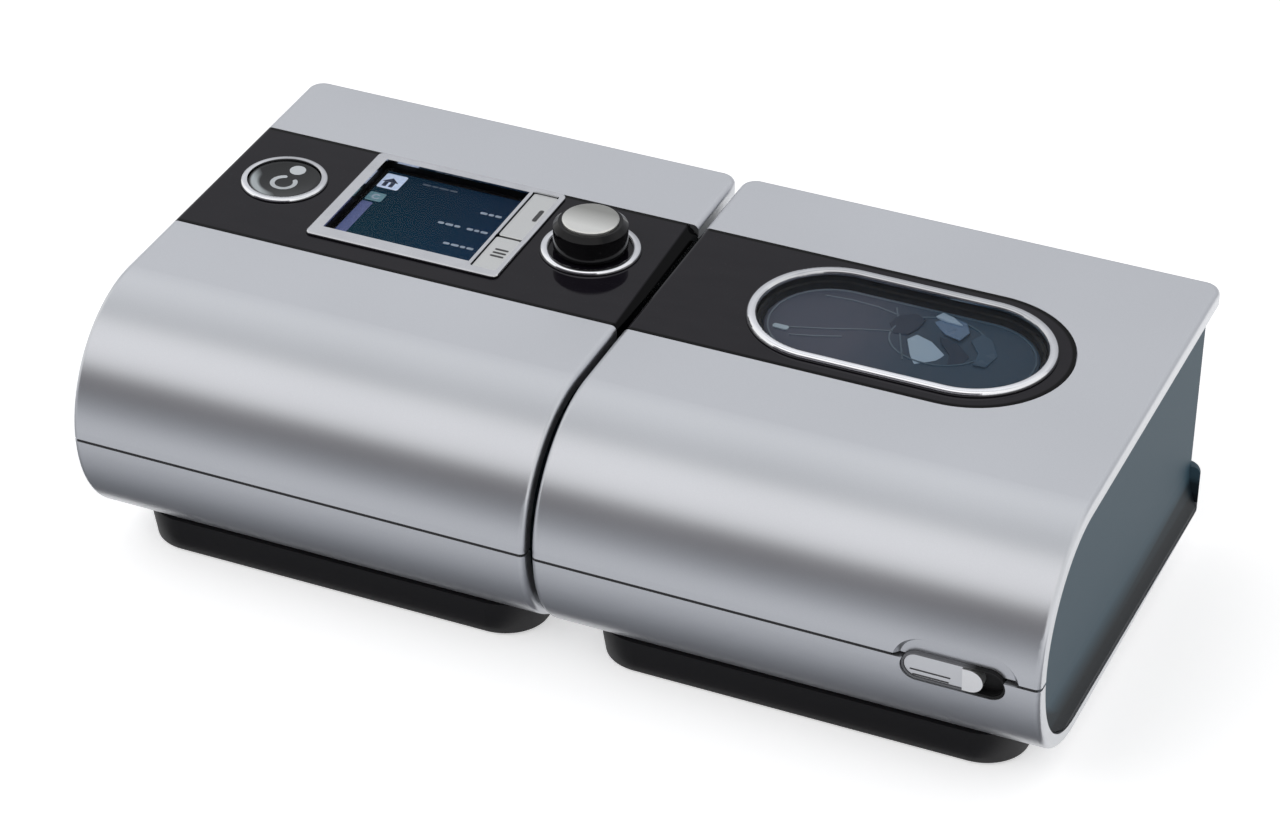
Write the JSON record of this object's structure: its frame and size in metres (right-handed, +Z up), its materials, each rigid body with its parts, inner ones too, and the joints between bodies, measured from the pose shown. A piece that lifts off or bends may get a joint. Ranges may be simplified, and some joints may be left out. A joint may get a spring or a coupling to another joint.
{
  "type": "cpap machine",
  "caption": "Bedside CPAP machine: flow generator with a screen, dial and keys on a black band, docked to a heated humidifier whose hinged lid has an oblong window.",
  "frame": {"origin": "middle of the footprint on the surface under the feet", "axes": "+X along the front from the flow generator to the humidifier, +Y to the back, +Z up"},
  "size_m": [0.29, 0.153, 0.0948],
  "materials": {
    "silver_paint": "satin silver-painted plastic",
    "black_fascia": "polished black plastic",
    "chrome_trim": "bright plated trim",
    "silver_key": "silver-painted plastic",
    "black_knob": "fine-textured black plastic",
    "clear_window": "clear, slightly blue",
    "clear_tub": "clear moulded plastic",
    "slate_panel": "matte blue-grey plastic",
    "black_plinth": "matte black plastic",
    "black_rubber": "matte rubber",
    "moulding_grey": "natural grey moulding",
    "steel": "bare steel",
    "heater_metal": "bare metal plate",
    "board_green": "solder-masked circuit board",
    "component_black": "component housing",
    "filter_felt": "pleated paper felt",
    "card_blue": "plastic card"
  },
  "bodies": {
    "flow_generator": {"flow_upper_shell": "silver_paint", "flow_lower_shell": "silver_paint", "fascia_panel": "black_fascia", "start_button_ring": "chrome_trim", "screen_bezel": "chrome_trim", "screen_window": "clear_window", "lcd_module": "black_knob", "dial_ring": "chrome_trim", "dial_encoder": "component_black", "control_board": "board_green", "tact_switches": "component_black", "board_screws": "steel", "flow_plinth": "black_plinth", "flow_feet": "black_rubber", "flow_chassis": "slate_panel", "blower_lower_housing": "moulding_grey", "blower_upper_housing": "moulding_grey", "motor_can": "steel", "blower_mounts": "black_rubber", "outlet_tube": "moulding_grey", "inlet_muffler": "moulding_grey", "air_filter": "filter_felt", "power_board": "board_green", "power_inlet": "black_plinth", "card_slot": "black_plinth", "dock_plug": "moulding_grey"},
    "start_button": {"start_button": "chrome_trim"},
    "info_key": {"info_key": "silver_key"},
    "setup_key": {"setup_key": "silver_key"},
    "dial_plunger": {"encoder_plunger": "component_black"},
    "dial": {"dial_knob": "black_knob", "dial_cap": "silver_key", "dial_shaft": "steel"},
    "rotor": {"impeller": "moulding_grey", "motor_shaft": "steel"},
    "filter_cover": {"filter_cover": "black_plinth"},
    "cord_clip": {"cord_clip": "steel"},
    "data_card": {"data_card": "card_blue"},
    "humidifier": {"humidifier_lower_shell": "silver_paint", "humidifier_plinth": "black_plinth", "humidifier_feet": "black_rubber", "humidifier_chassis": "slate_panel", "hinge_pins": "steel", "water_tub": "clear_tub", "tub_base_plate": "heater_metal", "tub_cover": "clear_tub", "heater_plate": "heater_metal", "inlet_socket": "moulding_grey", "air_outlet": "moulding_grey", "dock_socket": "moulding_grey", "latch_pocket": "black_knob", "latch_spring": "steel"},
    "lid": {"humidifier_lid": "silver_paint", "lid_inlay": "black_fascia", "window_ring": "chrome_trim", "window_lens": "clear_window", "lid_liner": "moulding_grey", "lid_seal": "black_rubber"},
    "latch_slider": {"latch_slider": "silver_key"}
  },
  "joints": [
    {"name": "start_button_press", "type": "slide", "parent": "flow_generator", "child": "start_button", "axis": [0, 0.0354, -0.9994], "range_m": [0, 0.0008], "stiffness_N_per_m": 1500, "springref_m": -0.0005},
    {"name": "info_key_press", "type": "slide", "parent": "flow_generator", "child": "info_key", "axis": [0, 0.0354, -0.9994], "range_m": [0, 0.0006], "stiffness_N_per_m": 1500, "springref_m": -0.0005},
    {"name": "setup_key_press", "type": "slide", "parent": "flow_generator", "child": "setup_key", "axis": [0, 0.0354, -0.9994], "range_m": [0, 0.0006], "stiffness_N_per_m": 1500, "springref_m": -0.0005},
    {"name": "dial_press", "type": "slide", "parent": "flow_generator", "child": "dial_plunger", "axis": [0, 0.0354, -0.9994], "range_m": [0, 0.001], "stiffness_N_per_m": 2000, "springref_m": -0.0005},
    {"name": "dial_turn", "type": "hinge", "parent": "dial_plunger", "child": "dial", "pos_m": [-0.0274, 0.01989, 0.08399], "axis": [0, -0.0354, 0.9994], "continuous": true},
    {"name": "rotor_spin", "type": "hinge", "parent": "flow_generator", "child": "rotor", "pos_m": [-0.088, -0.004, 0.05], "axis": [0, 0, 1], "continuous": true},
    {"name": "filter_cover_swing", "type": "hinge", "parent": "flow_generator", "child": "filter_cover", "pos_m": [-0.1338, 0.0746, 0.047], "axis": [0, 0, 1], "range_deg": [0, 110]},
    {"name": "cord_clip_swing", "type": "hinge", "parent": "flow_generator", "child": "cord_clip", "pos_m": [-0.047, 0.0741, 0.042], "axis": [1, 0, 0], "range_deg": [0, 100]},
    {"name": "data_card_slide", "type": "slide", "parent": "flow_generator", "child": "data_card", "axis": [0, 1, 0], "range_m": [0, 0.024]},
    {"name": "humidifier_undock", "type": "slide", "parent": "flow_generator", "child": "humidifier", "axis": [1, 0, 0], "range_m": [0, 0.04]},
    {"name": "lid_hinge", "type": "hinge", "parent": "humidifier", "child": "lid", "pos_m": [0.0715, 0.0732, 0.0784], "axis": [-1, 0, 0], "range_deg": [0, 100]},
    {"name": "latch_slide", "type": "slide", "parent": "humidifier", "child": "latch_slider", "axis": [1, 0, 0], "range_m": [0, 0.0052], "stiffness_N_per_m": 300, "springref_m": -0.002, "deforming": ["latch_spring"]}
  ]
}
